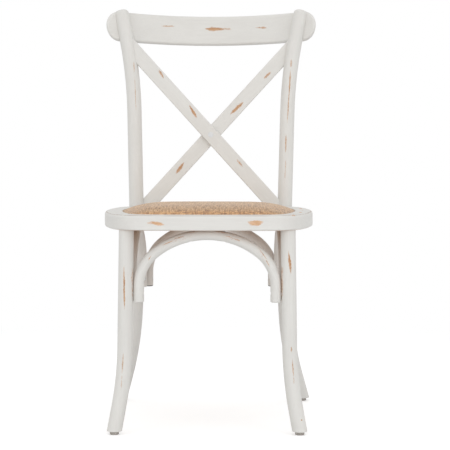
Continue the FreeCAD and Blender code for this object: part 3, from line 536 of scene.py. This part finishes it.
def paint_everything():
    grains = {
        "crest_rail": straight_grain(),
        "cross_slat_front": straight_grain((0, SLAT_TURN, 0)),
        "cross_slat_rear": straight_grain((0, -SLAT_TURN, 0)),
        "seat_frame": frame_grain,
        "front_arch": arch_grain(False, 0.0, ARCH_CENTRE_Z),
        "rear_arch": arch_grain(False, 0.0, ARCH_CENTRE_Z),
        "side_arch_left": arch_grain(True, SIDE_ARCH_CENTRE_Y, ARCH_CENTRE_Z),
        "side_arch_right": arch_grain(True, SIDE_ARCH_CENTRE_Y, ARCH_CENTRE_Z),
    }
    for name in ("back_post_left", "back_post_right", "front_leg_left", "front_leg_right"):
        grains[name] = straight_grain(UPRIGHT)
    for number, (name, grain) in enumerate(sorted(grains.items())):
        seed = 0.37 * (number + 1)
        if name == "seat_frame":
            wood = (SEAT_WOOD, SEAT_WOOD_PALE)
            material = painted_wood("paint_" + name, grain, WORN_AND_SHADED[name], seed, wood, rim=True)
        else:
            end = REAR_LIMB_END if name == "rear_arch" else 0.0
            bounce_tint = PAINTED_WARM_BOUNCE.get(name, 0.0)
            streaks = WORN_AND_SHADED.get(name, ())
            material = painted_wood("paint_" + name, grain, streaks, seed, bounce_tint=bounce_tint, shadowed_end=end)
        dress(material, name)


# Seat weave

def sampler(name):
    """The height of a CAD node's top below a point, or None beside it."""
    mesh = nodes[name].data
    tree = BVHTree.FromPolygons([v.co for v in mesh.vertices], [tuple(p.vertices) for p in mesh.polygons])

    def height(x, y):
        place = tree.ray_cast(Vector((x, y, ABOVE_SEAT)), Vector((0, 0, -1)))[0]
        return None if place is None or place.z < RIM_TOP - CROWN_EDGE_DROP else place.z
    return height


def seat_edge(height):
    """The outline of the crown as points around the middle."""
    points = []
    for k in range(EDGE_POINTS):
        turn = 2 * math.pi * k / EDGE_POINTS
        low, high = EDGE_BETWEEN
        for _ in range(EDGE_HALVINGS):
            middle = (low + high) / 2
            inside = height(middle * math.cos(turn), SEAT_CENTRE_Y + middle * math.sin(turn)) is not None
            low, high = (middle, high) if inside else (low, middle)
        points.append((low * math.cos(turn), SEAT_CENTRE_Y + low * math.sin(turn)))
    return points


def reach(outline, axis, value):
    """The two places where a line at a value of one axis crosses the outline, along the other."""
    found = []
    for first, second in zip(outline, outline[1:] + outline[:1]):
        a, b = first[axis] - value, second[axis] - value
        if (a < 0) != (b < 0):
            share = a / (a - b)
            other = 1 - axis
            found.append(first[other] + (second[other] - first[other]) * share)
    return (min(found), max(found)) if len(found) >= 2 else None


def warp_is_over(i, j):
    turn = 1 if (i // HERRINGBONE) % 2 == 0 else -1
    return (j + turn * i) % 4 < 2


def stations_along(start, stop, middle):
    """Places along a strand: its two ends and every half pitch between them."""
    half = PITCH / 2
    margin = PITCH / 8
    places = [start]
    k = math.floor((start - middle) / half) + 1
    while middle + k * half < stop - margin:
        if middle + k * half > start + margin:
            places.append(middle + k * half)
        k += 1
    places.append(stop)
    return places


def strand_rise(along, number, place, middle):
    """How far up a strand is at a place along it: 1 over the crossing strands, -1 under them."""
    spot = (place - middle) / PITCH
    rises = []
    for crossing in (math.floor(spot + 0.25), math.ceil(spot - 0.25)):
        i, j = (number, crossing) if along == 1 else (crossing, number)
        over = warp_is_over(i, j) == (along == 1)
        rises.append(1.0 if over else -1.0)
    return sum(rises) / 2


def painted_weave_shade(rise, crown, at_end):
    """How much painted shade a point of the weave gets: under a crossing, at a strand's side or at its end.
    """
    if at_end:
        return 0.9
    return (0.5 - 0.5 * rise) * 0.8 + (0.35 if crown == 0 else 0.0)


def smooth_piece(name, points, faces, material):
    mesh = bpy.data.meshes.new(name)
    mesh.from_pydata(points, [], faces)
    for polygon in mesh.polygons:
        polygon.use_smooth = True
    mesh.materials.append(material)
    piece = bpy.data.objects.new(name, mesh)
    bpy.context.scene.collection.objects.link(piece)
    return piece


def weave(name, along, height, outline, material):
    """All strands of one direction: along 1 runs front to back, along 0 left to right."""
    cross = 1 - along
    rng = np.random.default_rng(WEAVE_SEED + along)
    middle = (0.0, SEAT_CENTRE_Y)
    first = math.floor((min(p[cross] for p in outline) - middle[cross]) / PITCH) + 1
    last = math.ceil((max(p[cross] for p in outline) - middle[cross]) / PITCH) - 1
    points, faces, strands, shade_levels = [], [], [], []
    for number in range(first, last + 1):
        centre = middle[cross] + number * PITCH
        ends = reach(outline, cross, centre)
        if ends is None or ends[1] - ends[0] < SHORTEST_STRAND:
            continue
        stations = stations_along(ends[0] + STRAND_END_GAP, ends[1] - STRAND_END_GAP, middle[along])
        tone = rng.uniform()
        width = STRAND_WIDTH * rng.uniform(*STRAND_SPREAD)
        previous = None
        for place in stations:
            rise = strand_rise(along, number, place, middle[along])
            at_end = place in (stations[0], stations[-1])
            row = []
            for across, crown in STRAND_PROFILE:
                at = [0.0, 0.0]
                at[along] = place
                at[cross] = centre + across * width
                surface = height(*at) or RIM_TOP - STRAND_BESIDE_CROWN
                z = surface - STRAND_BELOW_CROWN + STRAND_RISE * rise + STRAND_CROWN * crown
                if at_end:
                    z -= STRAND_END_DIP
                row.append(len(points))
                points.append((at[0], at[1], z))
                strands.append(tone)
                shade_levels.append(painted_weave_shade(rise, crown, at_end))
            if previous:
                for a, b, c, d in zip(previous, previous[1:], row[1:], row):
                    faces.append((a, b, c, d) if along == 1 else (d, c, b, a))
            previous = row
    piece = smooth_piece(name, points, faces, material)
    for label, values in (("strand", strands), ("low", shade_levels)):
        made = piece.data.attributes.new(label, "FLOAT", "POINT")
        made.data.foreach_set("value", np.clip(values, 0, 1).astype(np.float32))
    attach(piece, "root")
    return piece


def build_pad(height, outline, material):
    """The crowned pad under the weave, a closed form that follows it."""
    def shrunk(x, y, share):
        return x * share, SEAT_CENTRE_Y + (y - SEAT_CENTRE_Y) * share

    count = len(outline)
    points = [(*shrunk(x, y, PAD_SCALE), PAD_BOTTOM) for x, y in outline]
    for share in PAD_RINGS:
        for x, y in outline:
            at = shrunk(x, y, share * PAD_SCALE)
            surface = height(*at) or RIM_TOP - PAD_BESIDE_CROWN
            points.append((*at, surface - PAD_BELOW_CROWN))
    top = len(points)
    bottom = top + 1
    points.append((0, SEAT_CENTRE_Y, height(0, SEAT_CENTRE_Y) - PAD_BELOW_CROWN))
    points.append((0, SEAT_CENTRE_Y, PAD_BOTTOM))
    faces = []
    for ring in range(len(PAD_RINGS)):
        here, above = ring * count, (ring + 1) * count
        for k in range(count):
            n = (k + 1) % count
            faces.append((here + k, here + n, above + n, above + k))
    inmost = len(PAD_RINGS) * count
    for k in range(count):
        n = (k + 1) % count
        faces.append((inmost + k, inmost + n, top))
        faces.append((n, k, bottom))
    piece = smooth_piece("pad_form", points, faces, material)
    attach(piece, "root")
    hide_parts("seat_pad")
    return piece


# Stage, lights and camera

def seen_ray(tree):
    """1 for rays that see a surface directly, mirrored or through something clear."""
    light = add(tree, "ShaderNodeLightPath").outputs
    other = math_node(tree, "MAXIMUM", light["Is Glossy Ray"], light["Is Transmission Ray"])
    return math_node(tree, "MAXIMUM", light["Is Camera Ray"], other)


def build_stage():
    """A pale floor that keeps the chair's shadow and turns white further out."""
    mesh = bpy.data.meshes.new("floor")
    corners = [(x * FLOOR_HALF_SIZE, y * FLOOR_HALF_SIZE, 0) for x, y in ((-1, -1), (1, -1), (1, 1), (-1, 1))]
    mesh.from_pydata(corners, [], [(0, 1, 2, 3)])
    floor = bpy.data.objects.new("floor", mesh)
    bpy.context.scene.collection.objects.link(floor)
    material = bpy.data.materials.new("floor")
    material.use_nodes = True
    tree = material.node_tree
    tree.nodes.clear()
    away = vector_node(tree, "LENGTH", object_point(tree))
    diffuse = add(tree, "ShaderNodeBsdfDiffuse", {"Color": FLOOR_SEEN}).outputs[0]
    bounce = add(tree, "ShaderNodeBsdfDiffuse", {"Color": FLOOR_BOUNCE}).outputs[0]
    lift = add(tree, "ShaderNodeEmission", {"Color": WHITE, "Strength": FLOOR_LIFT}).outputs[0]
    lifted = add(tree, "ShaderNodeAddShader", {0: diffuse, 1: lift}).outputs[0]
    white = add(tree, "ShaderNodeEmission", {"Color": WHITE, "Strength": 1.0}).outputs[0]
    far = step(tree, away, WHITE_FROM, WHITE_BY)
    direct = add(tree, "ShaderNodeMixShader", {0: far, 1: lifted, 2: white}).outputs[0]
    shown = add(tree, "ShaderNodeMixShader", {0: seen_ray(tree), 1: bounce, 2: direct}).outputs[0]
    output = tree.nodes.new("ShaderNodeOutputMaterial")
    tree.links.new(shown, output.inputs[0])
    mesh.materials.append(material)


def build_world():
    """Even light from all around, which is seen as plain white."""
    world = bpy.data.worlds.new("studio")
    bpy.context.scene.world = world
    world.use_nodes = True
    tree = world.node_tree
    tree.nodes.clear()
    white = add(tree, "ShaderNodeBackground", {"Color": WHITE, "Strength": 1.0}).outputs[0]
    room = add(tree, "ShaderNodeBackground", {"Color": WHITE, "Strength": ROOM_LIGHT}).outputs[0]
    shown = add(tree, "ShaderNodeMixShader", {0: seen_ray(tree), 1: room, 2: white}).outputs[0]
    output = tree.nodes.new("ShaderNodeOutputWorld")
    tree.links.new(shown, output.inputs[0])


def build_lights():
    for name, place, size, power in LAMPS:
        lamp = bpy.data.lights.new(name, "AREA")
        lamp.size = size
        lamp.energy = power
        holder = bpy.data.objects.new(name, lamp)
        holder.location = place
        holder.rotation_euler = (Vector(LAMP_AIM) - Vector(place)).to_track_quat("-Z", "Y").to_euler()
        bpy.context.scene.collection.objects.link(holder)


def build_camera():
    data = bpy.data.cameras.new("camera")
    data.lens = LENS
    data.sensor_width = 36.0
    data.clip_start = 0.1
    data.clip_end = 60.0
    camera = bpy.data.objects.new("camera", data)
    bpy.context.scene.collection.objects.link(camera)
    forward = Vector((-math.sin(CAMERA_AZIMUTH) * math.cos(CAMERA_PITCH),
                      math.cos(CAMERA_AZIMUTH) * math.cos(CAMERA_PITCH), -math.sin(CAMERA_PITCH)))
    right = Vector((math.cos(CAMERA_AZIMUTH), math.sin(CAMERA_AZIMUTH), 0))
    up = right.cross(forward)
    turn = Matrix.Rotation(-CAMERA_YAW, 3, up)
    forward, right = turn @ forward, turn @ right
    matrix = Matrix((right, up, -forward)).transposed().to_4x4()
    matrix.translation = Vector((CAMERA_DISTANCE * math.sin(CAMERA_AZIMUTH),
                                 PIVOT_Y - CAMERA_DISTANCE * math.cos(CAMERA_AZIMUTH), CAMERA_HEIGHT))
    camera.matrix_world = matrix
    bpy.context.scene.camera = camera


build_camera()
paint_everything()

# Small and hidden pieces
steel = plain_material("zinc_steel", (0.42, 0.42, 0.41), (0.62, 0.62, 0.60), (0.004, 0.004, 0.004), 0.4, 1.0)
dress(steel, "crest_screws", "cross_screw", "slat_pins", "arch_leg_screws", "arch_seat_screws",
      "seat_board_screws", "post_bolts", "post_bolt_washers", "post_barrel_nuts", "glide_nails")
dress(plain_material("plywood", (0.38, 0.22, 0.11), (0.56, 0.37, 0.21), (0.12, 0.003, 0.01), 0.7),
      "seat_board")
dress(plain_material("plug_paint", (0.66, 0.68, 0.69), (0.74, 0.75, 0.76), (0.004, 0.004, 0.004), 0.5),
      "crest_plugs", "cross_plug")
dress(plain_material("felt", (0.27, 0.24, 0.215), (0.60, 0.56, 0.52), (0.0025, 0.0025, 0.0018), 0.9),
      "glide_front_left", "glide_front_right", "glide_rear_left", "glide_rear_right")

# Seat
crown = sampler("seat_cane")
edge = seat_edge(crown)
warp = weave("cane_warp", 1, crown, edge, cane_material("cane_lengthwise", True))
weft = weave("cane_weft", 0, crown, edge, cane_material("cane_crosswise", False))
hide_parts("seat_cane")
build_pad(crown, edge, plain_material("pad_cloth", (0.16, 0.09, 0.045), (0.27, 0.16, 0.085),
                                      (0.001, 0.001, 0.001), 0.9))

build_stage()
build_world()
build_lights()
bpy.context.scene.view_settings.view_transform = "Standard"
